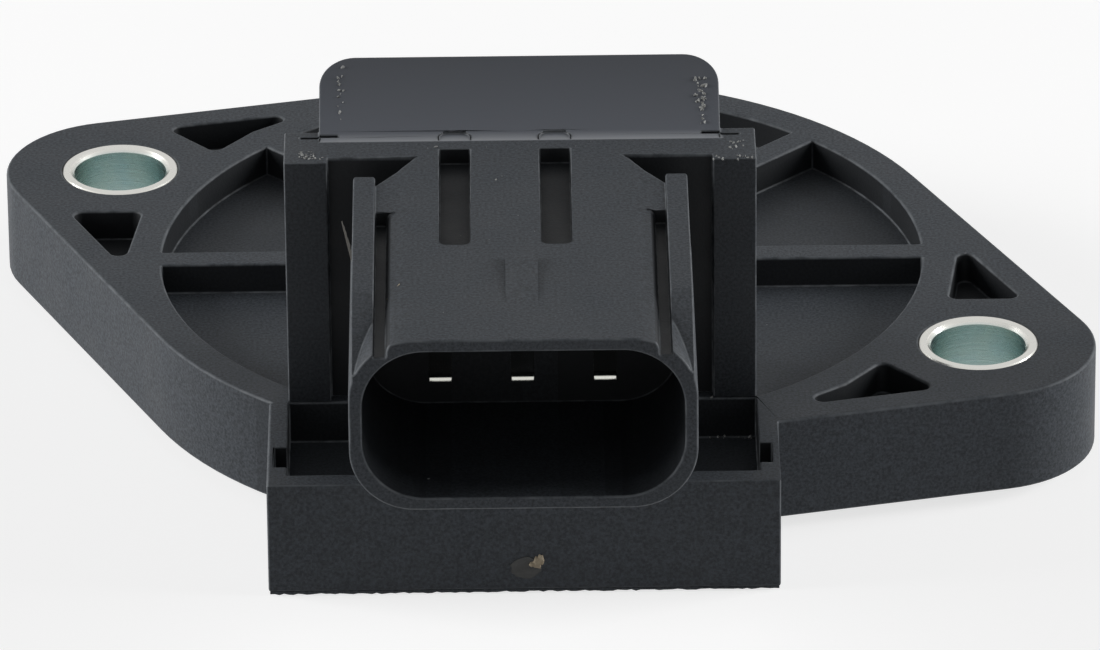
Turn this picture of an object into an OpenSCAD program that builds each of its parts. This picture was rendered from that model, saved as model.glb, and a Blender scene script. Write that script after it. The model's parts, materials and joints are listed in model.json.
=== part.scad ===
// Camshaft position sensor with a two-screw flange and a three-pin connector.
// Millimetres. The origin is the middle of the line between the two screws, on the
// mounting face. +Z points up out of the engine, and the connector points to -Y.

/* [Screws] */
// Distance between the two screw centres
bolt_span = 65; // [60:0.5:80]
// Turn of the line between the screws, from the cross axis
bolt_turn = 26; // [20:1:32]
// Bore of the steel bushings, for M6 screws
screw_bore = 6.4; // [5.4:0.1:7]
// Wall of the steel bushings
bushing_wall = 0.8; // [0.6:0.1:1]
// Chamfer at both mouths of a bushing
bushing_chamfer = 0.25; // [0.1:0.05:0.35]

/* [Flange] */
// Thickness of the flange
flange_t = 7.2; // [6.4:0.1:9]
// Outer radius of the round middle
ring_r = 28.5; // [28:0.1:34]
// Radius of the two screw lugs
lug_r = 7.9; // [7:0.1:9.5]
// Wall around the round recess
ring_wall = 2.5; // [2:0.1:3]
// Depth of the recess and the pockets in the top
recess_depth = 2.2; // [1.5:0.1:2.6]
// Width of the stiffening ribs
rib_w = 2; // [1.4:0.1:3]
// Wall between a pocket and the flange's edge
pocket_wall = 2.1; // [1.5:0.1:2.6]
// Plastic around a bushing, next to a pocket
boss_wall = 2.7; // [2:0.1:3]
// Radius of the pockets' corners
pocket_round = 0.6; // [0.3:0.1:0.8]

/* [Underside] */
// Radius of the clearance recess for the rotating target
target_r = 23.2; // [21:0.1:23.4]
// Depth of the clearance recess
target_depth = 2.4; // [1.5:0.1:2.6]
// Thickness of the seal ring's section
seal_section = 2.4; // [1.8:0.1:2.9]
// Wall between the seal's groove and the flange's edge
seal_edge = 1.5; // [1:0.1:1.8]
// How far the free seal stands out of the mounting face
seal_proud = 0.4; // [0.2:0.1:0.6]
// Side clearance of the seal in its groove
seal_gap = 0.1; // [0.05:0.05:0.15]

/* [Apron] */
// Width of the block under the connector
apron_w = 33.7; // [33.4:0.1:40]
// Distance from the centre to the block's front face
apron_front = 34.1; // [32:0.1:38]
// Height of the block's front
apron_h = 7.9; // [7.2:0.1:10]
// Length of the deeper part at the block's front
apron_drop_l = 4.6; // [3:0.1:5]
// Wall in front of the block's pocket
apron_wall = 1.5; // [1:0.1:2.5]
// Depth of the block's pocket
apron_pocket_depth = 3; // [1.5:0.1:3.6]
// Length of the notches in the pocket's sides
notch_l = 2.8; // [2:0.1:4]
// Depth of the notches in the pocket's sides
notch_depth = 0.85; // [0.4:0.05:1]
// Distance from the pocket's front wall to the notches
notch_setback = 1.2; // [0.5:0.1:2]

/* [Housing] */
// Offset of the housing from the flange's centre
housing_x = -1.45; // [-3:0.05:3]
// Width of the upright plate
plate_w = 31.1; // [29:0.1:32]
// Distance from the centre to the front of the plate's posts
plate_front = 22; // [21.5:0.1:23]
// Thickness of the plate with its posts
plate_t = 4.7; // [4:0.1:5.5]
// Height of the plate above the flange
plate_h = 17.6; // [16.5:0.1:21.2]
// Width of the two posts
post_w = 2.85; // [2:0.05:3.2]
// How far the posts stand in front of the plate
post_step = 0.75; // [0.4:0.05:1.5]
// Width of the block behind the plate
box_w = 26.5; // [25.5:0.1:28]
// Distance from the centre to the block's back
box_back = 11.4; // [10.5:0.1:12]
// Radius of the block's back corners
box_round = 2.4; // [1:0.1:3]
// Slope of the block's top, in degrees
roof_slope = 21.5; // [10:0.5:25]
// Width of the level lip in front of the slope
lip_w = 2.95; // [2.4:0.05:3.5]
// Radius of the fillet where the slope starts
roof_fillet = 3.3; // [1:0.1:5]
// Length of the slits between the slope and the posts
slit_l = 2.6; // [1.5:0.1:3]
// Width of those slits
slit_w = 0.3; // [0.2:0.05:0.4]
// Depth of those slits
slit_depth = 0.6; // [0.3:0.1:1]

/* [Connector] */
// Outer width of the connector
shroud_w = 22.3; // [21:0.1:24]
// Outer height of the connector
shroud_h = 12.1; // [11.4:0.1:13.5]
// Distance from the centre to the connector's mouth
shroud_front = 48.4; // [46:0.1:56]
// Wall of the connector's socket
shroud_wall = 0.85; // [0.7:0.05:1.1]
// Radius of the connector's outer corners
shroud_round = 4.2; // [3:0.1:5]
// Depth of the socket
socket_depth = 13.5; // [10:0.1:13.5]
// Radius of the socket's inner corners
socket_round = 4; // [2:0.1:4.8]
// Width of the two side fins
fin_w = 1.45; // [0.9:0.05:1.7]
// Distance from the connector's side to the fin
fin_inset = 0.2; // [0.1:0.05:0.3]
// Distance from the centre to the fins' back ends
fin_back = 24.15; // [23.5:0.05:25]
// Length of the fins' sloping front ends
fin_ramp_l = 7.1; // [4:0.1:9]
// Drop of the fins' sloping front ends
fin_ramp_drop = 2.4; // [1:0.1:2.8]
// Width of the channel beside each fin
channel_w = 0.8; // [0.5:0.1:1.2]
// Radius of the connector's top where it falls into the channel
channel_round = 0.9; // [0.4:0.1:1]
// Depth of the channel beside each fin
channel_depth = 1.2; // [0.6:0.1:1.3]
// Length of the filled corner behind each channel
channel_back_l = 5.1; // [4:0.1:7]
// Drop of the filled corner below the connector's top
corner_drop = 0.15; // [0.1:0.05:0.4]
// Length of the slanted flank that narrows the connector next to the plate
neck_l = 6.2; // [3:0.1:6.5]
// How far that flank goes in at the plate
neck_in = 4.2; // [2:0.1:4.5]
// Width of the two grooves along the top
groove_w = 2.05; // [1.5:0.05:2.5]
// Depth of the two grooves
groove_depth = 1.15; // [0.6:0.05:1.5]
// Length of the two grooves with their run-out
groove_l = 14.5; // [10:0.1:18]
// Length of the grooves' run-out
groove_ramp_l = 1.4; // [1:0.1:5]
// Radius of the grooves' corners
groove_round = 0.6; // [0.2:0.1:0.7]
// Distance from the plate's face to the grooves' back ends
groove_back = 1.2; // [0.3:0.1:2]
// How far the grooves' notches reach into the slope
slope_notch = 0.5; // [0.2:0.1:1]
// Offset of the left groove from the connector's middle
groove_left = -4.3; // [-5:0.05:-3]
// Offset of the right groove from the connector's middle
groove_right = 2.3; // [1.8:0.05:3.5]
// Width of the catch on the top
catch_w = 2.1; // [1.5:0.1:3]
// Length of the catch
catch_l = 6.4; // [4:0.1:8]
// Height of the catch at its back
catch_h = 0.35; // [0.2:0.05:1]
// Distance from the mouth to the catch's front
catch_setback = 5.3; // [4:0.1:6]

/* [Terminals] */
// Width of a blade
blade_w = 1.5; // [1.2:0.1:2]
// Thickness of a blade
blade_t = 0.64; // [0.6:0.02:0.8]
// Distance between neighbouring blades
blade_pitch = 5.3; // [4:0.1:6.4]
// Distance from the mouth to the blades' tips
blade_setback = 6.5; // [5:0.1:9]
// Length of the tip's slanted faces
blade_tip_l = 0.5; // [0.3:0.1:1.5]
// Thickness left at the end of the tip
blade_tip_t = 0.36; // [0.2:0.02:0.6]

/* [Electronics] */
// Inner width of the potted chamber
chamber_w = 21; // [19:0.1:22.5]
// Inner depth of the potted chamber
chamber_d = 5.4; // [4.6:0.1:5.6]
// Wall of the spigot below the flange's top
spigot_wall = 1.2; // [1:0.1:1.4]
// Plastic between the chamber and the block's back
back_wall = 1.8; // [1.2:0.1:2.2]
// Clearance between the spigot and the flange's window
window_gap = 0.1; // [0.05:0.05:0.3]
// Thickness of the cover under the chamber
cover_t = 1.2; // [0.8:0.1:1.4]
// Resin under the Hall chip
chip_gap = 0.3; // [0.2:0.1:1]
// Resin above the circuit board
resin_over = 0.6; // [0.4:0.1:2]
// Thickness of the circuit board
board_t = 1; // [0.6:0.1:1.6]
// Width of the circuit board
board_w = 18.5; // [17:0.1:18.8]
// Height of the circuit board
board_h = 11; // [10:0.1:12]
// How far the circuit board reaches above the middle of the blades
board_over = 1.15; // [0.8:0.05:1.5]
// Width of the Hall chip
chip_w = 4.1; // [3:0.1:5]
// Height of the Hall chip
chip_h = 3; // [2.5:0.1:3.5]
// Thickness of the Hall chip
chip_t = 1.5; // [1:0.1:1.6]
// Distance between the Hall chip's leads
lead_pitch = 1.27; // [1:0.01:1.6]
// Width of a Hall chip lead
lead_w = 0.45; // [0.3:0.05:0.6]
// Length of a chip capacitor or resistor
chip_part_l = 2; // [1:0.1:2.2]
// Width of a chip capacitor or resistor
chip_part_w = 1.25; // [0.6:0.05:1.6]
// Height of a chip capacitor
capacitor_t = 0.9; // [0.4:0.05:1]
// Height of the chip resistor
resistor_t = 0.5; // [0.3:0.05:0.8]

/* [Hidden] */
$fn = 96;

// A small overlap that keeps cuts clean
eps = 0.01;
// A length beyond the whole part, for cuts and outlines that something else trims
far = 120;
// Screws and lugs
bushing_r = screw_bore / 2 + bushing_wall;
rear_turn = 180 - bolt_turn;
rear_bolt = bolt_span / 2 * [cos(rear_turn), sin(rear_turn)];
// Angle between the line of the lugs and the normals of the flange's straight sides
side_turn = acos((ring_r - lug_r) / (bolt_span / 2));
// Flange
recess_r = ring_r - ring_wall;
floor_z = flange_t - recess_depth;
seal_half_w = seal_section / 2 + seal_gap;
groove_z = seal_section - seal_proud;
seal_r = ring_r - seal_edge - seal_half_w;
// Directions of the flat sides that part the pockets from a bushing
pocket_turns = [-90, 41];
// Directions of the two ribs that run back from the centre
back_rib_turns = [45, 135];
// Plate, block and chamber, as Y values
plate_y = -plate_front;
plate_back_y = plate_y + plate_t;
face_y = plate_y + post_step;
box_back_y = -box_back;
chamber_back_y = box_back_y - back_wall;
chamber_y = chamber_back_y - chamber_d;
plate_top = flange_t + plate_h;
roof_y = face_y + lip_w;
roof_tangent = roof_fillet * tan(roof_slope / 2);
// Connector
mouth_y = -shroud_front;
socket_y = mouth_y + socket_depth;
shroud_z = plate_top - shroud_h;
shroud_x = housing_x - shroud_w / 2;
channel_y = -fin_back - channel_back_l;
// Terminals and electronics
blade_z = shroud_z + shroud_h / 2;
board_y = chamber_y + chamber_d / 2;
chamber_z = target_depth + cover_t;
chip_z = chamber_z + chip_gap;
board_top = blade_z + board_over;
board_z = board_top - board_h;
lead_l = board_z - chip_z - chip_h;
chamber_top = board_top + resin_over;
blade_end_y = board_y - board_t / 2;

// Shapes that repeat

// A rectangle with all corners round, its lowest left corner at the origin
module round_rect(w, h, r) {
    translate([r, 0]) square([w - 2 * r, h]);
    translate([0, r]) square([w, h - 2 * r]);
    for (x = [r, w - r], y = [r, h - r]) translate([x, y]) circle(r);
}

// A bar along Y whose outline in X and Z is given, from y0 to y1
module along_y(y0, y1) {
    translate([0, y1, 0]) rotate([90, 0, 0]) linear_extrude(y1 - y0) children();
}

// A bar along X whose outline in Y and Z is given, centred on x
module along_x(x, w) {
    translate([x - w / 2, 0, 0]) rotate([90, 0, 90]) linear_extrude(w) children();
}

// A slot seen from above, from its rounded end at the origin towards +Y
module slot_outline(w, l, r) {
    translate([-w / 2, r]) square([w, l - r]);
    translate([r - w / 2, 0]) square([w - 2 * r, l]);
    for (side = [-1, 1]) translate([side * (w / 2 - r), r]) circle(r, $fn = 48);
}

// The outline of the flange, drawn in by a wall
module flange_outline(inset = 0) {
    big = ring_r - inset;
    small = lug_r - inset;
    circle(big);
    for (turn = [rear_turn, rear_turn + 180]) {
        lug = bolt_span / 2 * [cos(turn), sin(turn)];
        a = [cos(turn - side_turn), sin(turn - side_turn)];
        b = [cos(turn + side_turn), sin(turn + side_turn)];
        translate(lug) circle(small);
        polygon([big * a, lug + small * a, lug + small * b, big * b]);
    }
}

// One triangular pocket beside a bushing, its flat side facing the bushing at the angle given
module pocket_outline(turn) {
    offset(r = pocket_round, $fn = 24) offset(delta = -pocket_round) difference() {
        flange_outline(pocket_wall);
        circle(ring_r);
        translate(rear_bolt) rotate(turn) translate([-far, -far / 2])
            square([far + bushing_r + boss_wall, far]);
        // the pocket on the other side of the lug has its own flat side
        rotate(rear_turn) translate([0, turn < 0 ? -far : 0]) square(far);
        // only the lug at the back is looked at here
        rotate(rear_turn + 90) translate([-far / 2, 0]) square(far);
    }
}

// Flange

module recess() {
    translate([0, 0, floor_z]) linear_extrude(recess_depth + eps) difference() {
        circle(recess_r);
        // the rib across the middle
        translate([-ring_r, -rib_w / 2]) square([2 * ring_r, rib_w]);
        // two ribs that run back from the centre
        for (turn = back_rib_turns) rotate(turn) translate([0, -rib_w / 2]) square([ring_r, rib_w]);
        // the pad that carries the plate
        translate([housing_x - plate_w / 2, -ring_r]) square([plate_w, ring_r + plate_back_y]);
    }
}

module apron_pocket() {
    depth_y = apron_front - apron_wall;
    translate([housing_x - plate_w / 2, -depth_y, flange_t - apron_pocket_depth])
        cube([plate_w, depth_y + plate_y, apron_pocket_depth + eps]);
    notch_w = plate_w + 2 * notch_depth;
    translate([housing_x - notch_w / 2, notch_setback - depth_y, flange_t - apron_pocket_depth])
        cube([notch_w, notch_l, apron_pocket_depth + eps]);
}

module mounting_flange() {
    color([0.27, 0.29, 0.31]) difference() {
        union() {
            linear_extrude(flange_t) flange_outline();
            translate([housing_x - apron_w / 2, -apron_front, 0])
                cube([apron_w, apron_front + plate_y, flange_t]);
            translate([housing_x - apron_w / 2, -apron_front, flange_t - apron_h])
                cube([apron_w, apron_drop_l, apron_h]);
        }
        recess();
        apron_pocket();
        for (half = [0, 180], turn = pocket_turns)
            rotate(half) translate([0, 0, floor_z]) linear_extrude(recess_depth + eps)
                pocket_outline(turn);
        for (half = [0, 180])
            rotate(half) translate([rear_bolt.x, rear_bolt.y, -eps])
                cylinder(r = bushing_r, h = flange_t + 2 * eps);
        translate([0, 0, -eps]) cylinder(r = target_r, h = target_depth + eps);
        rotate_extrude() translate([seal_r - seal_half_w, -eps]) square([2 * seal_half_w, groove_z + eps]);
        translate([housing_x, 0, target_depth - eps]) linear_extrude(flange_t) spigot_outline(window_gap);
    }
}

module bushing() {
    rotate_extrude() {
        difference() {
            translate([screw_bore / 2, 0]) square([bushing_wall, flange_t]);
            for (z = [0, flange_t]) translate([screw_bore / 2, z]) rotate(45)
                square(bushing_chamfer * sqrt(2), center = true);
        }
    }
}

module rear_bushing() {
    color([0.75, 0.77, 0.76]) translate(rear_bolt) bushing();
}

module front_bushing() {
    color([0.75, 0.77, 0.76]) translate(-rear_bolt) bushing();
}

module seal_ring() {
    color([0.12, 0.12, 0.12]) translate([0, 0, groove_z - seal_section / 2])
        rotate_extrude() translate([seal_r, 0]) circle(seal_section / 2, $fn = 32);
}

// Housing

// The outline of the spigot that goes down through the flange, grown by a gap
module spigot_outline(gap = 0) {
    w = chamber_w + 2 * (spigot_wall + gap);
    translate([-w / 2, chamber_y - spigot_wall - gap]) square([w, chamber_d + 2 * (spigot_wall + gap)]);
}

// The plate with its two posts, seen from above
module plate_outline() {
    translate([-plate_w / 2, face_y]) square([plate_w, plate_back_y - face_y]);
    for (x = [-plate_w / 2, plate_w / 2 - post_w]) translate([x, plate_y]) square([post_w, plate_t]);
}

// The block behind the plate, seen from above, with round back corners
module box_outline() {
    d = box_back_y - face_y;
    translate([-box_w / 2, face_y]) square([box_w, d - box_round]);
    translate([-box_w / 2 + box_round, face_y]) square([box_w - 2 * box_round, d]);
    for (side = [-1, 1])
        translate([side * (box_w / 2 - box_round), box_back_y - box_round]) circle(box_round);
}

// The block's side view: a level lip, a fillet and a slope that rises to the back
module box_profile() {
    steps = 8;
    fillet = [for (i = [0 : steps]) let (a = roof_slope * (1 - i / steps))
        [roof_y - roof_tangent + roof_fillet * sin(a), plate_top + roof_fillet * (1 - cos(a))]];
    polygon(concat([[face_y, plate_top], [face_y, flange_t], [plate_back_y, flange_t],
        [plate_back_y, floor_z], [box_back_y, floor_z],
        [box_back_y, plate_top + (box_back_y - roof_y) * tan(roof_slope)]], fillet));
}

module box() {
    intersection() {
        translate([housing_x, 0, 0]) linear_extrude(far) box_outline();
        along_x(housing_x, box_w) box_profile();
    }
}

// One fin along the connector's upper edge, close to its side
module fin(side) {
    along_x(housing_x + side * (shroud_w / 2 - fin_inset - fin_w / 2), fin_w) polygon([
        [-fin_back, plate_top - shroud_round], [-fin_back, plate_top],
        [mouth_y + fin_ramp_l, plate_top], [mouth_y, plate_top - fin_ramp_drop],
        [mouth_y, plate_top - shroud_round]]);
}

// The filled corner between a fin and the connector's top, behind the channel
module corner_fill(side) {
    w = shroud_round - fin_inset;
    along_x(housing_x + side * (shroud_w / 2 - fin_inset - w / 2), w) polygon([
        [channel_y, plate_top - shroud_round], [channel_y, plate_top - corner_drop],
        [face_y, plate_top - corner_drop], [face_y, plate_top - shroud_round]]);
}

// The channel between a fin and the connector's top, which falls into it with a round edge
module channel(side) {
    translate([housing_x + side * (shroud_w / 2 - fin_inset - fin_w), 0, plate_top])
        mirror([max(side, 0), 0, 0]) along_y(mouth_y - eps, channel_y) {
            translate([0, -channel_depth]) square([channel_w, channel_depth + eps]);
            translate([channel_w, -channel_round]) difference() {
                square([channel_round, channel_round + eps]);
                translate([channel_round, 0]) circle(channel_round, $fn = 64);
            }
        }
}

// One groove along the connector's top, which runs out at its front, and its notch in the slope
module groove(offset_x) {
    x = housing_x + offset_x;
    back_y = face_y + groove_back;
    front_y = back_y - groove_l;
    notch_l = roof_tangent + slope_notch;
    intersection() {
        translate([x, front_y, 0]) linear_extrude(far) slot_outline(groove_w, groove_l, groove_round);
        along_x(x, far) polygon([
            [back_y, plate_top - groove_depth], [back_y, plate_top + eps], [front_y, plate_top + eps],
            [front_y + groove_ramp_l, plate_top - groove_depth]]);
    }
    translate([x, roof_y + slope_notch, plate_top]) rotate(180)
        linear_extrude(far) slot_outline(groove_w, notch_l, groove_round);
}

// The slanted flank that narrows the connector's neck where it meets the plate
module neck_cut(side) {
    flank = [[-eps, 0], [neck_in, 0], [0, -neck_l], [-eps, -neck_l]];
    translate([housing_x + side * shroud_w / 2, face_y, shroud_z - eps])
        linear_extrude(shroud_h + 2 * eps) polygon([for (p = flank) [-side * p.x, p.y]]);
}

// The low wedge on the connector's top that the plug's latch slides over
module catch() {
    front_y = mouth_y + catch_setback;
    along_x(housing_x, catch_w) polygon([
        [front_y, plate_top - catch_h], [front_y, plate_top],
        [front_y + catch_l, plate_top + catch_h], [front_y + catch_l, plate_top - catch_h]]);
}

module connector() {
    difference() {
        union() {
            along_y(mouth_y, face_y)
                translate([shroud_x, shroud_z]) round_rect(shroud_w, shroud_h, shroud_round);
            for (side = [-1, 1]) corner_fill(side);
        }
        for (side = [-1, 1]) {
            neck_cut(side);
            channel(side);
        }
    }
    for (side = [-1, 1]) fin(side);
    catch();
}

module socket() {
    along_y(mouth_y - eps, socket_y) translate([shroud_x + shroud_wall, shroud_z + shroud_wall])
        round_rect(shroud_w - 2 * shroud_wall, shroud_h - 2 * shroud_wall, socket_round);
}

module chamber() {
    translate([housing_x - chamber_w / 2, chamber_y, target_depth])
        cube([chamber_w, chamber_d, chamber_top - target_depth]);
}

module slit(side) {
    x = housing_x + side * box_w / 2;
    translate([x - slit_l / 2, roof_y, plate_top - slit_depth]) cube([slit_l, slit_w, far]);
}

module sensor_housing() {
    color([0.25, 0.27, 0.29]) difference() {
        union() {
            translate([housing_x, 0, flange_t]) linear_extrude(plate_h) plate_outline();
            box();
            connector();
            translate([housing_x, 0, target_depth])
                linear_extrude(flange_t - target_depth + eps) spigot_outline();
        }
        socket();
        chamber();
        for (x = [groove_left, groove_right]) groove(x);
        for (side = [-1, 1]) slit(side);
        for (slot = [-1, 0, 1]) blade(slot);
    }
}

// Terminals

// A flat blade along Y from the board to its tip in the socket, which gets thinner at the end
module blade(slot) {
    x = housing_x + slot * blade_pitch;
    tip_y = mouth_y + blade_setback;
    slant_y = tip_y + blade_tip_l;
    translate([x - blade_w / 2, 0, blade_z]) rotate([90, 0, 90]) linear_extrude(blade_w) polygon([
        [blade_end_y, -blade_t / 2], [slant_y, -blade_t / 2], [tip_y, -blade_tip_t / 2],
        [tip_y, blade_tip_t / 2], [slant_y, blade_t / 2], [blade_end_y, blade_t / 2]]);
}

module supply_terminal() {
    color([0.82, 0.82, 0.78]) blade(-1);
}

module ground_terminal() {
    color([0.82, 0.82, 0.78]) blade(0);
}

module signal_terminal() {
    color([0.82, 0.82, 0.78]) blade(1);
}

// Electronics

module circuit_board() {
    color([0.1, 0.35, 0.2]) translate([housing_x - board_w / 2, board_y - board_t / 2, board_z])
        cube([board_w, board_t, board_top - board_z]);
}

module hall_chip() {
    color([0.1, 0.1, 0.1]) translate([housing_x - chip_w / 2, board_y - chip_t / 2, chip_z])
        cube([chip_w, chip_t, chip_h]);
}

module lead(slot) {
    x = housing_x + slot * lead_pitch;
    color([0.8, 0.8, 0.8]) translate([x - lead_w / 2, board_y - lead_w / 2, chip_z + chip_h])
        cube([lead_w, lead_w, lead_l]);
}

module supply_lead() {
    lead(-1);
}

module ground_lead() {
    lead(0);
}

module signal_lead() {
    lead(1);
}

// A small part on the back of the board
module board_part(x, z, t) {
    translate([housing_x + x - chip_part_l / 2, board_y + board_t / 2, z])
        cube([chip_part_l, t, chip_part_w]);
}

module supply_capacitor() {
    color([0.6, 0.5, 0.35]) board_part(-blade_pitch, board_z + board_h / 2, capacitor_t);
}

module signal_capacitor() {
    color([0.6, 0.5, 0.35]) board_part(blade_pitch, board_z + board_h / 2, capacitor_t);
}

module pull_up_resistor() {
    color([0.15, 0.15, 0.15]) board_part(0, board_z + board_h / 2, resistor_t);
}

module potting_fill() {
    color([0.12, 0.12, 0.13]) difference() {
        translate([housing_x - chamber_w / 2, chamber_y, chamber_z])
            cube([chamber_w, chamber_d, chamber_top - chamber_z]);
        circuit_board();
        hall_chip();
        for (slot = [-1, 0, 1]) {
            lead(slot);
            blade(slot);
        }
        supply_capacitor();
        signal_capacitor();
        pull_up_resistor();
    }
}

module base_cover() {
    color([0.2, 0.21, 0.22]) translate([housing_x - chamber_w / 2, chamber_y, target_depth])
        cube([chamber_w, chamber_d, cover_t]);
}

mounting_flange();
rear_bushing();
front_bushing();
seal_ring();
sensor_housing();
supply_terminal();
ground_terminal();
signal_terminal();
circuit_board();
hall_chip();
supply_lead();
ground_lead();
signal_lead();
supply_capacitor();
signal_capacitor();
pull_up_resistor();
potting_fill();
base_cover();
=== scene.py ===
# %% [markdown]
# A camshaft position sensor: a charcoal plastic flange with two zinc plated steel bushings, and an
# upright housing whose connector points at the camera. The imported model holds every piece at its
# real size, so this lesson first loads it and then gives each piece its finish.

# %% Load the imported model
import json
import math
import random

import bpy
from mathutils import Matrix, Vector
from mathutils.bvhtree import BVHTree

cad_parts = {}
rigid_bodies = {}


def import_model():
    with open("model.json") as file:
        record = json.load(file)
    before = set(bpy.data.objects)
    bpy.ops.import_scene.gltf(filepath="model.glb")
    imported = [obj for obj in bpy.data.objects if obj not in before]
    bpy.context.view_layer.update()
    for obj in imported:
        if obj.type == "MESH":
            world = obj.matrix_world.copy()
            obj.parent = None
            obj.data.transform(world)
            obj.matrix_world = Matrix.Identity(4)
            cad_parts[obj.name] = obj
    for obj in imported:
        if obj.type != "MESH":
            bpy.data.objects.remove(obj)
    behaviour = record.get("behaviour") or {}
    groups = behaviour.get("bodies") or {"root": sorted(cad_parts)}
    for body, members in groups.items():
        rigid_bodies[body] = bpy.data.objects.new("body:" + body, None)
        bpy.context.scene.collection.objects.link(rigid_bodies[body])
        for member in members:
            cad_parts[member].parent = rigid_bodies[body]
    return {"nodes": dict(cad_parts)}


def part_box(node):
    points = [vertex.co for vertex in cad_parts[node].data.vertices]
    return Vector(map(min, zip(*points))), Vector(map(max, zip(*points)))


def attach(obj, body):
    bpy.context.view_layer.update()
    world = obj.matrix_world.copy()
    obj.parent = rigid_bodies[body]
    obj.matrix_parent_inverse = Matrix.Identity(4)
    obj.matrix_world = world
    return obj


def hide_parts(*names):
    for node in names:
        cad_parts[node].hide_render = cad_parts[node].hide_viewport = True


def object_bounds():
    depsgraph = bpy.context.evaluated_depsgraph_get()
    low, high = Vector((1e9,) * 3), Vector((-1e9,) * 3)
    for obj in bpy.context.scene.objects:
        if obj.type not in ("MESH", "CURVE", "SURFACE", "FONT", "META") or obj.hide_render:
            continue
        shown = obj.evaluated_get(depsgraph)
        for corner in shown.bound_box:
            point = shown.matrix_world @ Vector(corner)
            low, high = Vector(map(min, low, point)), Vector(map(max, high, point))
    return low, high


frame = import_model()
nodes = frame["nodes"]
cad_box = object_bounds()
MM = 0.001
rng = random.Random(7)
print("nodes", len(nodes), "box", [round(v, 4) for v in cad_box[1] - cad_box[0]])

# %% [markdown]
# The photograph was taken with a long lens from the front and about 26 degrees up. A long lens is a
# camera far away with a narrow angle, so the camera is placed 0.71 m off and given 340 mm. The angles
# come from how the round bushings and the straight edges look in the photograph.

# %% Set the camera
CAMERA_PLACE = Vector((-2.59, -638.8, 319.3)) * MM
CAMERA_LENS = 340.3
CAMERA_TURN = math.radians(-0.28)
CAMERA_PITCH = math.radians(90 - 26.43)
CAMERA_ROLL = math.radians(-0.53)

camera = bpy.data.objects.new("camera", bpy.data.cameras.new("camera"))
bpy.context.scene.collection.objects.link(camera)
camera.data.lens = CAMERA_LENS
camera.data.sensor_width = 36
camera.data.clip_start = 0.05
turn = Matrix.Rotation(CAMERA_TURN, 4, "Z")
pitch = Matrix.Rotation(CAMERA_PITCH, 4, "X")
roll = Matrix.Rotation(CAMERA_ROLL, 4, "Z")
camera.matrix_world = Matrix.Translation(CAMERA_PLACE) @ turn @ pitch @ roll
bpy.context.scene.camera = camera
print("camera is", round(camera.location.length, 3), "m from the origin")

# %% [markdown]
# Several finishes share the same small effects: the fine grain of a moulded or turned surface, loose
# white dust, and the paler look of a worn edge, which also paints the highlight along a rounded edge.
# Each effect is made once as a node group with named inputs and outputs. A group only puts out masks
# and heights, and every material keeps its own shader, so the model can also be baked.

# %% Tools for node groups
def new_group(name, inputs, outputs):
    """A node group with number or vector sockets, and its input and output nodes."""
    group = bpy.data.node_groups.new(name, "ShaderNodeTree")
    for socket, kind in inputs:
        group.interface.new_socket(socket, in_out="INPUT", socket_type=kind)
    for socket, kind in outputs:
        group.interface.new_socket(socket, in_out="OUTPUT", socket_type=kind)
    return group, group.nodes.new("NodeGroupInput"), group.nodes.new("NodeGroupOutput")


def math_node(tree, operation, a, b):
    """A Math node whose two inputs are sockets or plain numbers, and its output."""
    node = tree.nodes.new("ShaderNodeMath")
    node.operation = operation
    for i, value in enumerate((a, b)):
        if isinstance(value, (int, float)):
            node.inputs[i].default_value = value
        else:
            tree.links.new(value, node.inputs[i])
    return node.outputs[0]


def ramp(tree, value, low, high, to_low=0.0, to_high=1.0):
    """Maps a value between two limits to a new range, clamped."""
    node = tree.nodes.new("ShaderNodeMapRange")
    tree.links.new(value, node.inputs["Value"])
    for name, number in (("From Min", low), ("From Max", high), ("To Min", to_low), ("To Max", to_high)):
        node.inputs[name].default_value = number
    return node.outputs["Result"]


# %% Group: surface grain
# A single grain is about this share of the noise's period
GRAIN_OF_PERIOD = 0.6
MOTTLES_PER_METRE = 260


def grain_group():
    """Fine grain and slow mottling. Size is the grain's width in metres."""
    group, given, out = new_group(
        "surface grain", [("Place", "NodeSocketVector"), ("Size", "NodeSocketFloat")],
        [("Height", "NodeSocketFloat"), ("Mottle", "NodeSocketFloat")])
    scale = math_node(group, "DIVIDE", GRAIN_OF_PERIOD, given.outputs["Size"])
    fine = group.nodes.new("ShaderNodeTexNoise")
    fine.inputs["Detail"].default_value = 3
    fine.inputs["Roughness"].default_value = 0.65
    group.links.new(given.outputs["Place"], fine.inputs["Vector"])
    group.links.new(scale, fine.inputs["Scale"])
    slow = group.nodes.new("ShaderNodeTexNoise")
    slow.inputs["Scale"].default_value = MOTTLES_PER_METRE
    slow.inputs["Detail"].default_value = 5
    slow.inputs["Roughness"].default_value = 0.6
    group.links.new(given.outputs["Place"], slow.inputs["Vector"])
    group.links.new(fine.outputs["Fac"], out.inputs["Height"])
    group.links.new(ramp(group, slow.outputs["Fac"], 0.3, 0.7), out.inputs["Mottle"])
    return group


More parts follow.
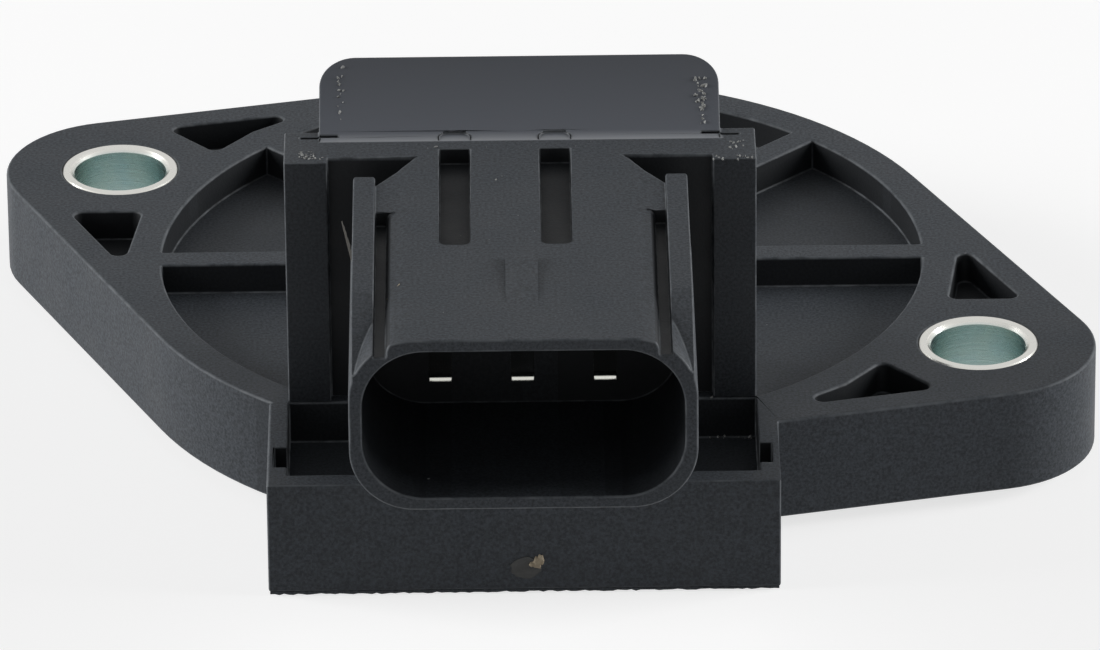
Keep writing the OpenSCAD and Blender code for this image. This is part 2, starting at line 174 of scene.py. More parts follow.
# %% Group: white dust
def dust_group():
    """Sparse specks. Spacing is the room each has, Amount is the share of the rooms that hold one."""
    group, given, out = new_group(
        "white dust", [("Place", "NodeSocketVector"), ("Spacing", "NodeSocketFloat"),
                       ("Amount", "NodeSocketFloat"), ("Radius", "NodeSocketFloat")],
        [("Specks", "NodeSocketFloat")])
    cells = group.nodes.new("ShaderNodeTexVoronoi")
    group.links.new(given.outputs["Place"], cells.inputs["Vector"])
    group.links.new(math_node(group, "DIVIDE", 1, given.outputs["Spacing"]), cells.inputs["Scale"])
    chance = group.nodes.new("ShaderNodeSeparateColor")
    group.links.new(cells.outputs["Color"], chance.inputs["Color"])
    chosen = math_node(group, "LESS_THAN", chance.outputs["Red"], given.outputs["Amount"])
    # the speck's radius varies with the cell's green
    share = math_node(group, "MULTIPLY", chance.outputs["Green"], given.outputs["Radius"])
    reach = math_node(group, "DIVIDE", share, given.outputs["Spacing"])
    near = math_node(group, "LESS_THAN", cells.outputs["Distance"], reach)
    group.links.new(math_node(group, "MULTIPLY", chosen, near), out.inputs["Specks"])
    return group


# %% Group: worn edges, with a painted highlight
WEAR_PATCHES_PER_METRE = 900


def wear_and_highlight_group():
    """Breaks the edge mask of a piece up with noise, for wear and a painted highlight. Edge is 1 along the
    rounded edges.
    """
    group, given, out = new_group(
        "worn and highlighted edges", [("Place", "NodeSocketVector"), ("Edge", "NodeSocketFloat")],
        [("WearAndHighlight", "NodeSocketFloat")])
    noise = group.nodes.new("ShaderNodeTexNoise")
    noise.inputs["Scale"].default_value = WEAR_PATCHES_PER_METRE
    noise.inputs["Detail"].default_value = 4
    group.links.new(given.outputs["Place"], noise.inputs["Vector"])
    patchy = ramp(group, noise.outputs["Fac"], 0.35, 0.65, 0.25, 1)
    group.links.new(math_node(group, "MULTIPLY", given.outputs["Edge"], patchy), out.inputs["WearAndHighlight"])
    return group


GRAIN, DUST, WEAR_AND_HIGHLIGHT = grain_group(), dust_group(), wear_and_highlight_group()
print("groups", [g.name for g in (GRAIN, DUST, WEAR_AND_HIGHLIGHT)])

# %% [markdown]
# Every finish starts from one Principled shader that reads the piece's own Object coordinates, so
# the pattern stays with the surface and has its real size in metres.

# %% Tools for materials
def srgb(r, g, b):
    """A colour given in the 0 to 255 steps of a picture, as the linear colour a shader takes."""
    steps = [v / 255 for v in (r, g, b)]
    return [v / 12.92 if v <= 0.04045 else ((v + 0.055) / 1.055) ** 2.4 for v in steps] + [1]


def new_material(name):
    """An empty node material, with its tree, its Principled shader and its Object coordinates."""
    material = bpy.data.materials.new(name)
    material.use_nodes = True
    tree = material.node_tree
    place = tree.nodes.new("ShaderNodeTexCoord").outputs["Object"]
    return material, tree, tree.nodes["Principled BSDF"], place


def add_group(tree, group, place, **values):
    """Places a group in a material, fed with the coordinates and the values given."""
    node = tree.nodes.new("ShaderNodeGroup")
    node.node_tree = group
    tree.links.new(place, node.inputs["Place"])
    for name, value in values.items():
        if isinstance(value, (int, float)):
            node.inputs[name].default_value = value
        else:
            tree.links.new(value, node.inputs[name])
    return node.outputs


def mix(tree, factor, a, b):
    """Mixes two colours, each a socket or a list, and returns the result's socket."""
    node = tree.nodes.new("ShaderNodeMix")
    node.data_type = "RGBA"
    for name, value in (("Factor", factor), ("A", a), ("B", b)):
        socket = next(s for s in node.inputs if s.name == name and s.enabled)
        if isinstance(value, (int, float, list)):
            socket.default_value = value
        else:
            tree.links.new(value, socket)
    return next(s for s in node.outputs if s.enabled)


def attribute(tree, name):
    """The value of one of the piece's own attributes."""
    node = tree.nodes.new("ShaderNodeAttribute")
    node.attribute_name = name
    return node.outputs["Fac"]


def split(tree, vector):
    """The X, Y and Z of a vector, as the outputs of one node."""
    node = tree.nodes.new("ShaderNodeSeparateXYZ")
    tree.links.new(vector, node.inputs[0])
    return node.outputs


def bump(tree, shader, height, distance):
    """Feeds a height through a Bump node into the shader's Normal."""
    node = tree.nodes.new("ShaderNodeBump")
    node.inputs["Distance"].default_value = distance
    tree.links.new(height, node.inputs["Height"])
    tree.links.new(node.outputs["Normal"], shader.inputs["Normal"])


def put_on(obj, material):
    """Gives an object this one material."""
    obj.data.materials.clear()
    obj.data.materials.append(material)


# %% [markdown]
# Both mouldings are glass filled charcoal plastic with a spark eroded, matte skin. Its grain is about
# a tenth of a millimetre, so it is bump. Slow mottling, paler edges (wear and a painted highlight) and
# a few white specks keep the large flat faces from looking like paint. Sheltered faces between walls
# and ribs get painted shade, and the tab's slope gets a painted sheen and highlight and is polished.

# %% Finish: moulded charcoal plastic
GRAIN_SIZE, GRAIN_HEIGHT = 0.12 * MM, 0.016 * MM
# How dark and light single grains get, and how rough the skin is at its smoothest and roughest
GRAIN_TONES = (0.55, 1.45)
SKIN_ROUGHNESS = (0.5, 0.62)
SKIN_SPECULAR = 0.22
# Rounded edges are paler: partly wear, partly a painted highlight
WEAR_AND_HIGHLIGHT_COLOUR, DUST_COLOUR = srgb(104, 108, 112), srgb(205, 208, 208)
DUST_SPACING, DUST_RADIUS = 1.9 * MM, 0.1 * MM
# Painted shade darkens the faces that others shelter: from and to which shelter, how far, and how dark
PAINTED_SHADE_FROM, PAINTED_SHADE_TO, PAINTED_SHADE_SHARE, PAINTED_SHADE_TONE = 0.06, 0.5, 0.95, 0.2
# The slope of the tab, from low to high X and Y, gets a painted sheen, paler than the rest, and is polished
# inside a border
SLOPE_FOOT, SLOPE_HEAD = -18.95 * MM, -11 * MM
TAB_SLOPE = (-14.6 * MM, 11.9 * MM, SLOPE_FOOT, SLOPE_HEAD)
TAB_PANEL = (-13.3 * MM, 10.7 * MM, SLOPE_FOOT, SLOPE_HEAD)
PAINTED_SHEEN_LOW, PAINTED_SHEEN_HIGH = srgb(106, 110, 118), srgb(82, 85, 91)
POLISH, POLISHED_GRAIN = 0.2, 0.25
# A painted highlight lies in the hollow at the slope's foot, over its first millimetre
PAINTED_HIGHLIGHT_END = (-17.9 * MM - SLOPE_FOOT) / (SLOPE_HEAD - SLOPE_FOOT)
PAINTED_HIGHLIGHT_COLOUR = srgb(158, 161, 166)


def panel_mask(tree, place, low_x, high_x, low_y, high_y):
    """1 inside a panel of the tab, and how far up the slope each point lies."""
    axes = split(tree, place)
    soft = 0.15 * MM
    left = ramp(tree, axes["X"], low_x - soft, low_x)
    right = ramp(tree, axes["X"], high_x, high_x + soft, 1, 0)
    behind = ramp(tree, axes["Y"], low_y, low_y + soft)
    inside = math_node(tree, "MULTIPLY", math_node(tree, "MULTIPLY", left, right), behind)
    return inside, ramp(tree, axes["Y"], low_y, high_y)


def charcoal_plastic(name, colour, pale=1.06, dust=0.05, tab=False):
    """Matte moulded plastic. Pale is how much lighter and darker than the colour the mottling gets."""
    material, tree, shader, place = new_material(name)
    grain = add_group(tree, GRAIN, place, Size=GRAIN_SIZE)
    wear_and_highlight = add_group(tree, WEAR_AND_HIGHLIGHT, place, Edge=attribute(tree, "edge"))
    specks = add_group(tree, DUST, place, Spacing=DUST_SPACING, Amount=dust, Radius=DUST_RADIUS)
    light = [min(c * pale, 1) for c in colour[:3]] + [1]
    dark = [c / pale for c in colour[:3]] + [1]
    body = mix(tree, grain["Mottle"], dark, light)
    scaled = tree.nodes.new("ShaderNodeVectorMath")
    scaled.operation = "SCALE"
    tree.links.new(body, scaled.inputs["Vector"])
    tree.links.new(ramp(tree, grain["Height"], 0.35, 0.65, *GRAIN_TONES), scaled.inputs["Scale"])
    body = scaled.outputs["Vector"]
    roughness = ramp(tree, grain["Mottle"], 0, 1, *SKIN_ROUGHNESS)
    height = grain["Height"]
    if tab:
        slope, up = panel_mask(tree, place, *TAB_SLOPE)
        polished = panel_mask(tree, place, *TAB_PANEL)[0]
        # painted sheen, paler towards the slope's foot, and a painted highlight along the hollow there
        painted_sheen_tone = mix(tree, up, PAINTED_SHEEN_LOW, PAINTED_SHEEN_HIGH)
        painted_sheen_tone = mix(tree, ramp(tree, up, 0, PAINTED_HIGHLIGHT_END, 1, 0), painted_sheen_tone, PAINTED_HIGHLIGHT_COLOUR)
        body = mix(tree, slope, body, painted_sheen_tone)
        roughness = math_node(tree, "SUBTRACT", roughness, math_node(tree, "MULTIPLY", polished, POLISH))
        height = math_node(tree, "MULTIPLY", height, ramp(tree, polished, 0, 1, 1, POLISHED_GRAIN))
    # painted shade: faces that others shelter are darkened as if shade fell there
    painted_shade_amount = ramp(tree, attribute(tree, "shelter"), PAINTED_SHADE_FROM, PAINTED_SHADE_TO, 0, PAINTED_SHADE_SHARE)
    body = mix(tree, painted_shade_amount, body, [c * PAINTED_SHADE_TONE for c in colour[:3]] + [1])
    # paler rounded edges: wear and a painted highlight
    body = mix(tree, wear_and_highlight["WearAndHighlight"], body, WEAR_AND_HIGHLIGHT_COLOUR)
    body = mix(tree, specks["Specks"], body, DUST_COLOUR)
    tree.links.new(body, shader.inputs["Base Color"])
    tree.links.new(roughness, shader.inputs["Roughness"])
    shader.inputs["Specular IOR Level"].default_value = SKIN_SPECULAR
    bump(tree, shader, height, GRAIN_HEIGHT)
    return material


flange_plastic = charcoal_plastic("flange plastic", srgb(64, 68, 73))
housing_plastic = charcoal_plastic("housing plastic", srgb(62, 66, 71), tab=True)
cover_plastic = charcoal_plastic("cover plastic", srgb(54, 57, 60), dust=0.02)
print("plastics", flange_plastic.name, housing_plastic.name, cover_plastic.name)

# %% [markdown]
# The bushings are turned steel with clear zinc plating. Turning leaves rings, which are bands along
# the bushing's axis. The plating in the bore has a green and blue cast, and the rims are plain. The
# blades are tin plated, with the fine lines of the rolled strip along them.

# %% Finish: plated metals
BORE_BLUE = srgb(184, 204, 206)
LINE_SIZE, SPOT_SIZE, RIM_FADE = 0.5 * MM, 0.3 * MM, 0.3 * MM


def plated_metal(name, colour, cast, rough, stretch, height=0.006 * MM, rim=None):
    """Bright metal with fine lines. Stretch squeezes the noise across the lines, along each axis.

    Above the height called rim the metal has its plain colour, without the cast of the plating.
    """
    material, tree, shader, place = new_material(name)
    mapping = tree.nodes.new("ShaderNodeMapping")
    mapping.inputs["Scale"].default_value = stretch
    tree.links.new(place, mapping.inputs["Vector"])
    lines = add_group(tree, GRAIN, mapping.outputs["Vector"], Size=LINE_SIZE)
    spots = add_group(tree, GRAIN, place, Size=SPOT_SIZE)
    tinted = mix(tree, spots["Mottle"], colour, cast)
    if rim:
        bore = mix(tree, spots["Mottle"], cast, BORE_BLUE)
        tinted = mix(tree, ramp(tree, split(tree, place)["Z"], rim - RIM_FADE, rim), bore, colour)
    tree.links.new(tinted, shader.inputs["Base Color"])
    roughness = ramp(tree, lines["Height"], 0.3, 0.7, rough * 0.7, rough * 1.3)
    tree.links.new(roughness, shader.inputs["Roughness"])
    shader.inputs["Metallic"].default_value = 1
    bump(tree, shader, lines["Height"], height)
    return material


bushing_zinc = plated_metal("bushing zinc", srgb(226, 225, 219), srgb(200, 210, 202), 0.26, (0.2, 0.2, 6),
                            rim=7.1 * MM)
terminal_tin = plated_metal("terminal tin", srgb(226, 226, 220), srgb(205, 205, 196), 0.2, (6, 0.2, 6),
                            height=0.0008 * MM)
lead_tin = plated_metal("lead tin", srgb(214, 214, 208), srgb(190, 190, 182), 0.35, (6, 6, 0.2))
print("metals", bushing_zinc.name, terminal_tin.name, lead_tin.name)

# %% [markdown]
# The hidden pieces get their own finishes too: a dull rubber ring, green laminate with its glass
# weave, the epoxy body of the chip, two tan ceramic capacitors, a black resistor and the dark resin
# that they are sealed in. Thin flash, torn plastic and tan dirt are made in the same way.

# %% Finish: rubber, resin and small electronic parts
WEAVES_PER_METRE = 400


def soft_dull(name, colour, tone, size, rough, height):
    """A plain material for rubber, resin and crumbs, with grain of a size and height in millimetres."""
    material, tree, shader, place = new_material(name)
    grain = add_group(tree, GRAIN, place, Size=size * MM)
    tree.links.new(mix(tree, grain["Mottle"], colour, tone), shader.inputs["Base Color"])
    tree.links.new(ramp(tree, grain["Height"], 0.3, 0.7, rough, rough * 1.25), shader.inputs["Roughness"])
    bump(tree, shader, grain["Height"], height * MM)
    return material


def laminate(name):
    """Green solder mask over a woven glass board: two crossed waves show the weave."""
    material, tree, shader, place = new_material(name)
    weave = []
    for direction in ("X", "Z"):
        wave = tree.nodes.new("ShaderNodeTexWave")
        wave.bands_direction = direction
        wave.inputs["Scale"].default_value = WEAVES_PER_METRE
        wave.inputs["Distortion"].default_value = 0.6
        tree.links.new(place, wave.inputs["Vector"])
        weave.append(wave.outputs["Fac"])
    cloth = math_node(tree, "MULTIPLY", weave[0], weave[1])
    tree.links.new(mix(tree, cloth, srgb(18, 78, 44), srgb(34, 104, 62)), shader.inputs["Base Color"])
    tree.links.new(ramp(tree, cloth, 0, 1, 0.25, 0.38), shader.inputs["Roughness"])
    bump(tree, shader, cloth, 0.01 * MM)
    return material


FINISHES = {
    "seal_ring": soft_dull("seal rubber", srgb(24, 24, 25), srgb(36, 36, 37), 0.2, 0.5, 0.004),
    "circuit_board": laminate("board laminate"),
    "hall_chip": soft_dull("chip epoxy", srgb(28, 28, 30), srgb(38, 38, 40), 0.06, 0.45, 0.004),
    "supply_capacitor": soft_dull("ceramic", srgb(150, 118, 84), srgb(166, 134, 98), 0.08, 0.3, 0.003),
    "pull_up_resistor": soft_dull("resistor coat", srgb(26, 26, 28), srgb(34, 34, 36), 0.08, 0.3, 0.003),
    "potting_fill": soft_dull("potting resin", srgb(24, 24, 27), srgb(32, 33, 36), 0.6, 0.22, 0.01),
    "base_cover": cover_plastic,
}
flash_plastic = soft_dull("thin flash", srgb(112, 114, 114), srgb(176, 177, 174), 0.15, 0.5, 0.01)
dull_flash = soft_dull("dull flash", srgb(62, 61, 58), srgb(98, 94, 86), 0.2, 0.5, 0.01)
torn_plastic = soft_dull("torn plastic", srgb(44, 45, 46), srgb(84, 84, 82), 0.35, 0.6, 0.05)
tan_dirt = soft_dull("tan dirt", srgb(150, 134, 112), srgb(212, 198, 172), 0.2, 0.6, 0.02)
FINISHES["signal_capacitor"] = FINISHES["supply_capacitor"]
for name in ("supply_lead", "ground_lead", "signal_lead"):
    FINISHES[name] = lead_tin
for name, material in FINISHES.items():
    put_on(nodes[name], material)
print("finished nodes", len(FINISHES))

# %% [markdown]
# A moulded edge is never sharp. The CAD solids have true faces but sharp edges, so both mouldings are
# replaced by a refined copy: the loose triangles are merged into flat faces, each edge that a real
# mould would round gets a bevel of a chosen width, and weighted normals keep the large faces flat.
# A bevel can throw a point off where many edges meet, so each point that left the old surface is
# laid back on it.

# %% Refined copies of CAD nodes
def deselect():
    """Nothing is selected after this, because operators act on all that is selected."""
    bpy.ops.object.select_all(action="DESELECT")


def make_active(obj):
    """Selects only this object, for the operators that follow."""
    deselect()
    obj.select_set(True)
    bpy.context.view_layer.objects.active = obj


def merged_copy(node, name, cuts=()):
    """A copy of a CAD node as a new piece, its triangles merged into flat faces.

    A face can have no hole, so upright cuts at the X places given, in millimetres, first part the
    faces that have holes in them. They are marked as seams, which the merging keeps.
    """
    make_active(nodes[node])
    bpy.ops.object.duplicate()
    piece = bpy.context.object
    bpy.ops.object.parent_clear(type="CLEAR_KEEP_TRANSFORM")
    piece.name = name
    for key in list(piece.keys()):
        del piece[key]
    bpy.ops.object.mode_set(mode="EDIT")
    bpy.ops.mesh.select_all(action="SELECT")
    bpy.ops.mesh.remove_doubles(threshold=0.002 * MM)
    for x in cuts:
        bpy.ops.mesh.select_all(action="SELECT")
        bpy.ops.mesh.bisect(plane_co=(x * MM, 0, 0), plane_no=(1, 0, 0))
        bpy.ops.mesh.mark_seam(clear=False)
    bpy.ops.mesh.select_all(action="SELECT")
    bpy.ops.mesh.dissolve_limited(angle_limit=math.radians(0.6), delimit={"SEAM"})
    bpy.ops.object.mode_set(mode="OBJECT")
    return piece


def edge_angles(mesh):
    """The angle between the two faces at each edge, by the edge's number."""
    faces = {}
    for face in mesh.polygons:
        for key in face.edge_keys:
            faces.setdefault(key, []).append(face.normal)
    pairs = [faces.get(edge.key, ()) for edge in mesh.edges]
    return [pair[0].angle(pair[1], 0) if len(pair) == 2 else 0 for pair in pairs]


# The widest rounding, in millimetres, and how far from the old surface a point counts as thrown off
WIDEST = 0.5
LOOSE = 0.07 * MM


def round_edges(piece, width_at, segments=3, sharpest=math.radians(30)):
    """Bevels the sharp edges, each as wide as width_at says for its middle, in millimetres."""
    mesh = piece.data
    old_surface = BVHTree.FromPolygons([v.co for v in mesh.vertices], [p.vertices for p in mesh.polygons])
    weights = mesh.attributes.new("bevel_weight_edge", "FLOAT", "EDGE")
    for edge, angle in zip(mesh.edges, edge_angles(mesh)):
        if angle > sharpest:
            middle = (mesh.vertices[edge.vertices[0]].co + mesh.vertices[edge.vertices[1]].co) / 2
            weights.data[edge.index].value = width_at(middle / MM) / WIDEST
    make_active(piece)
    bevel = piece.modifiers.new("edges", "BEVEL")
    bevel.width = WIDEST * MM
    bevel.segments = segments
    bevel.limit_method = "WEIGHT"
    bevel.use_clamp_overlap = False
    bevel.miter_outer = "MITER_ARC"
    # the second material only marks the rounded edges, for mark_edges
    bevel.material = 1
    piece.data.materials.clear()
    piece.data.materials.append(housing_plastic)
    piece.data.materials.append(cover_plastic)
    bpy.ops.object.modifier_apply(modifier="edges")
    mesh = piece.data
    laid_back = 0
    for vertex in mesh.vertices:
        near, _, _, distance = old_surface.find_nearest(vertex.co)
        if distance > LOOSE:
            vertex.co = near
            laid_back += 1
    mark_edges(mesh)
    print(piece.name, len(mesh.vertices), "points", laid_back, "laid back")


def mark_edges(mesh):
    """Writes the edge attribute: 1 on points inside a rounded edge, 0 where a flat face begins."""
    flat = {v for face in mesh.polygons if face.material_index == 0 for v in face.vertices}
    edge = mesh.attributes.new("edge", "FLOAT", "POINT")
    for vertex in mesh.vertices:
        edge.data[vertex.index].value = 0.0 if vertex.index in flat else 1.0
    for face in mesh.polygons:
        face.material_index = 0


# Directions over the half sphere above a face: eight round each of three heights, in radians
SKY_HEIGHTS = (0.3, 0.65, 1.05)
SKY = [Vector((math.cos(a) * math.cos(e), math.sin(a) * math.cos(e), math.sin(e)))
       for e in SKY_HEIGHTS for a in [i * math.pi / 4 + e for i in range(8)]]
RAY_LIFT = 0.02


def mark_shelter(mesh, reach=9 * MM):
    """Writes the attribute for painted shade: the share of rays from each face that soon meet the piece."""
    skin = BVHTree.FromPolygons([v.co for v in mesh.vertices], [p.vertices for p in mesh.polygons])
    shelter = mesh.attributes.new("shelter", "FLOAT", "FACE")
    for face in mesh.polygons:
        turn = face.normal.to_track_quat("Z", "Y")
        start = face.center + face.normal * RAY_LIFT * MM
        met = [skin.ray_cast(start, turn @ ray, reach)[0] is not None for ray in SKY]
        shelter.data[face.index].value = sum(met) / len(met)


def finish_piece(piece, material, *replaced):
    """Smooths the rounded edges only, gives the finish, and hides the CAD nodes that it replaces."""
    make_active(piece)
    bpy.ops.object.shade_smooth_by_angle(angle=math.radians(40))
    weighted = piece.modifiers.new("flat faces", "WEIGHTED_NORMAL")
    weighted.keep_sharp = True
    weighted.weight = 90
    bpy.ops.object.modifier_apply(modifier="flat faces")
    # the attribute that paints shade on sheltered faces
    mark_shelter(piece.data)
    put_on(piece, material)
    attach(piece, "root")
    if replaced:
        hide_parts(*replaced)


# %% [markdown]
# The edges at the flange's top and bottom faces are a little round, and the edges down in its
# recess and pockets are crisper. The two notches in the block under the connector leave only a thin
# wall, which takes the narrowest rounding.

# %% Flange moulding
flange_low, flange_high = (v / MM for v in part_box("mounting_flange"))
housing_low, housing_high = (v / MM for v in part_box("sensor_housing"))
MIDDLE_X = (housing_low.x + housing_high.x) / 2
FLANGE_TOP = flange_high.z
BLOCK_BACK, BLOCK_HALF, BLOCK_FLOOR = -22.5, 16.6, 3
# An edge this close to a face counts as on it
ON_FACE = 0.05


def flange_width(p):
    """Rounding of the flange's edges at a point, in millimetres."""
    if p.y < BLOCK_BACK and abs(p.x - MIDDLE_X) < BLOCK_HALF and p.z > BLOCK_FLOOR:
        return 0.1
    if p.z > FLANGE_TOP - ON_FACE or p.z < ON_FACE:
        return 0.2
    return 0.14


flange = merged_copy("mounting_flange", "flange_moulding")
round_edges(flange, flange_width)
finish_piece(flange, flange_plastic, "mounting_flange")

# %% [markdown]
# The housing has softer and crisper edges side by side: the slanted flanks of the connector's neck
# roll off softly, the lip in front of the plate is a little round, and the connector's rim is thin.

# %% Housing moulding
MOUTH_Y = housing_low.y
PLATE_TOP, LIP_Y = 24.8, -21.25
# An edge this far below the plate's top is still near it
NEAR_TOP = 0.3
# From the connector's middle outwards come the slanted neck and then the fins
NECK_OUT, NECK_FRONT, NECK_BACK = 7, -27.6, -21.0
FIN_OUT, FIN_BACK = 9.4, -24.15
CATCH_HALF, CATCH_FRONT, CATCH_BACK = 1.2, -43.3, -36.5
# The stretch in which the grooves on top run out: half its width, its ends, and how far down it reaches
GROOVES_HALF, GROOVES_FRONT, GROOVES_BACK, GROOVES_DEEP = 6.5, -35.2, -33.9, 1.5
# The blades' slots in the socket's end wall lie behind this Y and between these heights
SLOTS_Y, SLOTS_LOW, SLOTS_HIGH = MOUTH_Y + 13, 17.5, 20
# Upright cuts that each pass through a groove, a blade's slot or the catch
HOUSING_CUTS = (-6.1, -1.45, 0.85, 3.75)


def housing_width(p):
    """Rounding of the housing's edges at a point, in millimetres."""
    out = abs(p.x - MIDDLE_X)
    near_top = p.z > PLATE_TOP - NEAR_TOP
    on_catch = near_top and out < CATCH_HALF and CATCH_FRONT < p.y < CATCH_BACK
    at_slots = p.y > SLOTS_Y and SLOTS_LOW < p.z < SLOTS_HIGH
    at_grooves = out < GROOVES_HALF and p.z > PLATE_TOP - GROOVES_DEEP
    if on_catch or at_slots or (at_grooves and GROOVES_FRONT < p.y < GROOVES_BACK):
        return 0
    if abs(p.y - FIN_BACK) < ON_FACE and out > FIN_OUT and p.z < PLATE_TOP - NEAR_TOP:
        return 0.4
    if near_top and NECK_FRONT < p.y < NECK_BACK and NECK_OUT < out < FIN_OUT:
        return 0.3
    if abs(p.y - LIP_Y) < ON_FACE and near_top:
        return 0.2
    if p.y < MOUTH_Y + ON_FACE:
        return 0.16
    return 0.11


housing = merged_copy("sensor_housing", "housing_moulding", HOUSING_CUTS)
round_edges(housing, housing_width)
finish_piece(housing, housing_plastic, "sensor_housing")

# %% [markdown]
# Each bushing is a turned sleeve. Its section is a thin upright rectangle with both mouths of the
# bore chamfered. The section is drawn beside the axis and spun round it, which is how a lathe would
# make the shape. One function makes both sleeves, each with its own mesh.

# %% Bushings
BORE_R = 3.2
MOUTH_CHAMFER = 0.25
RIM_ROUND = 0.08
SPIN_STEPS = 96


def spun_sleeve(name, node):
    """A sleeve round the axis of a CAD bushing, as long and as wide as the CAD one."""
    low, high = (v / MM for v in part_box(node))
    middle = (low + high) / 2
    outer = (high.x - low.x) / 2
    section = [(BORE_R, low.z + MOUTH_CHAMFER), (BORE_R + MOUTH_CHAMFER, low.z),
               (outer - RIM_ROUND, low.z), (outer, low.z + RIM_ROUND),
               (outer, high.z - RIM_ROUND), (outer - RIM_ROUND, high.z),
               (BORE_R + MOUTH_CHAMFER, high.z), (BORE_R, high.z - MOUTH_CHAMFER)]
    deselect()
    bpy.ops.mesh.primitive_circle_add(vertices=len(section), radius=1)
    piece = bpy.context.object
    piece.name = name
    for vertex, (r, z) in zip(piece.data.vertices, section):
        vertex.co = Vector((middle.x + r, middle.y, z)) * MM
    bpy.ops.object.mode_set(mode="EDIT")
    bpy.ops.mesh.select_all(action="SELECT")
    foot = Vector((middle.x, middle.y, 0)) * MM
    bpy.ops.mesh.spin(steps=SPIN_STEPS, angle=2 * math.pi, center=foot, axis=(0, 0, 1))
    bpy.ops.mesh.select_all(action="SELECT")
    bpy.ops.mesh.remove_doubles(threshold=0.001 * MM)
    bpy.ops.mesh.normals_make_consistent(inside=False)
    bpy.ops.object.mode_set(mode="OBJECT")
    make_active(piece)
    bpy.ops.object.shade_smooth_by_angle(angle=math.radians(30))
    put_on(piece, bushing_zinc)
    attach(piece, "root")
    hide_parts(node)
    return piece


for side in ("rear", "front"):
    sleeve = spun_sleeve(side + "_sleeve", side + "_bushing")
    print(sleeve.name, len(sleeve.data.vertices), "points")

# %% [markdown]
# The three blades are stamped from strip, so their edges are only slightly round. They use the same
# refined copy as the mouldings, with one narrow width all round.

# %% Blades
BLADE_ROUND = 0.07
for side in ("supply", "ground", "signal"):
    blade = merged_copy(side + "_terminal", side + "_blade")
    round_edges(blade, lambda p: BLADE_ROUND, segments=2)
    finish_piece(blade, terminal_tin, side + "_terminal")

# %% [markdown]
# The seal is a smooth rubber ring with a round section. A torus has that shape already, so it only
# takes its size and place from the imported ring, with enough segments to look round close up.

# %% Seal ring
seal_low, seal_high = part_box("seal_ring")
SEAL_SECTION = seal_high.z - seal_low.z
SEAL_R = (seal_high.x - seal_low.x - SEAL_SECTION) / 2
deselect()
bpy.ops.mesh.primitive_torus_add(
    location=(seal_low + seal_high) / 2, major_radius=SEAL_R, minor_radius=SEAL_SECTION / 2,
    major_segments=144, minor_segments=24)
seal = bpy.context.object
seal.name = "seal_o_ring"
bpy.ops.object.transform_apply(location=True, rotation=True, scale=True)
bpy.ops.object.shade_smooth()
put_on(seal, FINISHES["seal_ring"])
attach(seal, "root")
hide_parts("seal_ring")
print(seal.name, "section", round(SEAL_SECTION / MM, 2), "mm")

# %% [markdown]
# Real mouldings carry traces of how they were made. Where the mould's halves met, thin flash broke off
# and left pale burrs, and where the plastic came in, a torn round scar stayed. Rays find the surface
# that each trace is laid on, so it sits where the moulding really is.

# %% Tools for the traces of moulding
def surface_of(*pieces):
    """A ray tree over the pieces as they are modelled."""
    points, faces = [], []
    for piece in pieces:
        start = len(points)
        points += [v.co.copy() for v in piece.data.vertices]
        faces += [[start + i for i in p.vertices] for p in piece.data.polygons]
    return BVHTree.FromPolygons(points, faces)


SKIN = surface_of(housing, flange)
DOWN, INWARD, TO_RIGHT = Vector((0, 0, -1)), Vector((0, 1, 0)), Vector((1, 0, 0))


def on_skin(x, y, z, direction):
    """The first point of the mouldings that a ray meets, from a place given in millimetres."""
    return SKIN.ray_cast(Vector((x, y, z)) * MM, direction)[0]


def on_top(x, y, above=40):
    """The point of the mouldings that shows from straight above a place, in millimetres."""
    return on_skin(x, y, above, DOWN)


def join_as(parts, name, material):
    """Joins loose parts into one finished piece with its origin in the frame's origin."""
    deselect()
    for part in parts:
        part.select_set(True)
    bpy.context.view_layer.objects.active = parts[0]
    if len(parts) > 1:
        bpy.ops.object.join()
    piece = bpy.context.object
    piece.name = name
    bpy.ops.object.transform_apply(location=True, rotation=True, scale=True)
    bpy.ops.object.shade_smooth_by_angle(angle=math.radians(40))
    put_on(piece, material)
    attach(piece, "root")
    print(name, len(piece.data.vertices), "points")


# How much a chip is stretched and narrowed, and how far its points are knocked in and out
CHIP_STRETCH, CHIP_NARROWING, CHIP_KNOCKS = (0.6, 1.5), (0.5, 1), (0.65, 1.2)
FLASH_THICKNESS = 0.06 * MM


def chip(place, size, flat=0.5, finer=1):
    """One irregular crumb of plastic: a small ball pushed out of shape."""
    bpy.ops.mesh.primitive_ico_sphere_add(subdivisions=finer, radius=size * MM, location=place,
                                          rotation=[rng.uniform(0, math.pi) for _ in range(3)])
    part = bpy.context.object
    part.scale = (rng.uniform(*CHIP_STRETCH), rng.uniform(*CHIP_NARROWING), flat)
    for vertex in part.data.vertices:
        vertex.co *= rng.uniform(*CHIP_KNOCKS)
    return part


def ragged_strip(name, start, end, out, depths, tears, material, steps):
    """A thin closed strip that stands out from a surface, by one depth at each end, with a torn rim."""
    deselect()
    bpy.ops.mesh.primitive_grid_add(x_subdivisions=steps, y_subdivisions=2, size=1)
    piece = bpy.context.object
    torn = [rng.uniform(*tears) for _ in range(steps + 2)]
    for vertex in piece.data.vertices:
        along = vertex.co.x + 0.5
        depth = depths[0] * (1 - along) + depths[1] * along
        reach = (vertex.co.y + 0.5) * depth * torn[round(along * steps)]
        vertex.co = (start.lerp(end, along) + out * reach) * MM
    make_active(piece)
    thick = piece.modifiers.new("thickness", "SOLIDIFY")
    thick.thickness = FLASH_THICKNESS
    thick.offset = 0
    bpy.ops.object.modifier_apply(modifier="thickness")
    join_as([piece], name, material)


# %% [markdown]
# The burrs stand thickest where the tab meets its posts. Each patch below is a box in millimetres,
# from low to high X and Y, with the number and the largest size of the burrs in it. Two lone burrs
# have a place and a size of their own.

